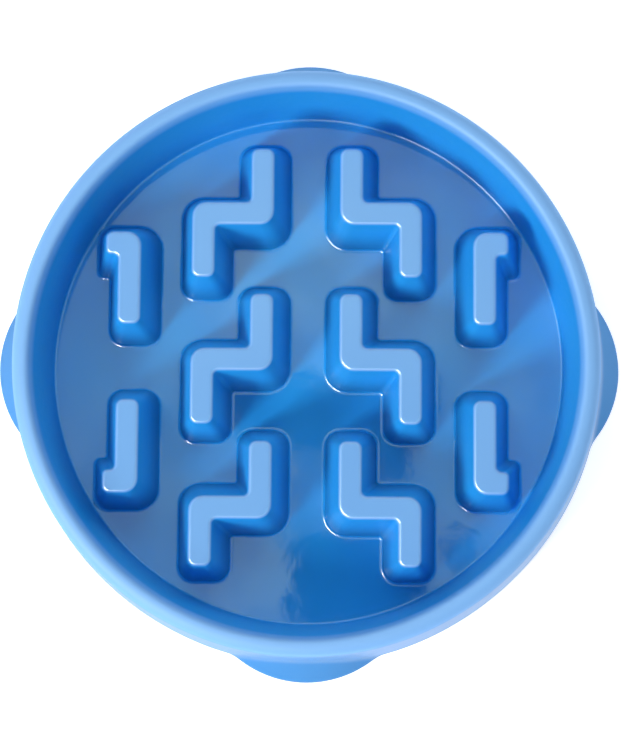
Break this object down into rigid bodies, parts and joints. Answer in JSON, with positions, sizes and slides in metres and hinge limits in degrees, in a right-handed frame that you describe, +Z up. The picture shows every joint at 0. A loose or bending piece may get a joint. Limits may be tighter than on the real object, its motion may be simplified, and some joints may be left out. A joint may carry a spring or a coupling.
{
  "type": "slow feeder bowl",
  "caption": "Round moulded dog bowl whose floor carries drafted zig-zag and hooked maze ridges that slow eating, with a rolled rim and flared feet on rubber pads.",
  "frame": {"origin": "on the table plane under the bowl's axis, at the soles of the pads", "axes": "+Z up along the bowl's axis; +Y to the back, towards the end the inner legs of the zig-zags point at; +X to the right"},
  "size_m": [0.211, 0.211, 0.038],
  "materials": {
    "bowl_plastic": "smooth satin-gloss polypropylene, light blue",
    "pad_rubber": "matt grey thermoplastic rubber"
  },
  "bodies": {
    "root": {"bowl_shell": "bowl_plastic", "front_foot_pad": "pad_rubber", "back_foot_pad": "pad_rubber", "left_foot_pad": "pad_rubber", "right_foot_pad": "pad_rubber"}
  },
  "joints": []
}
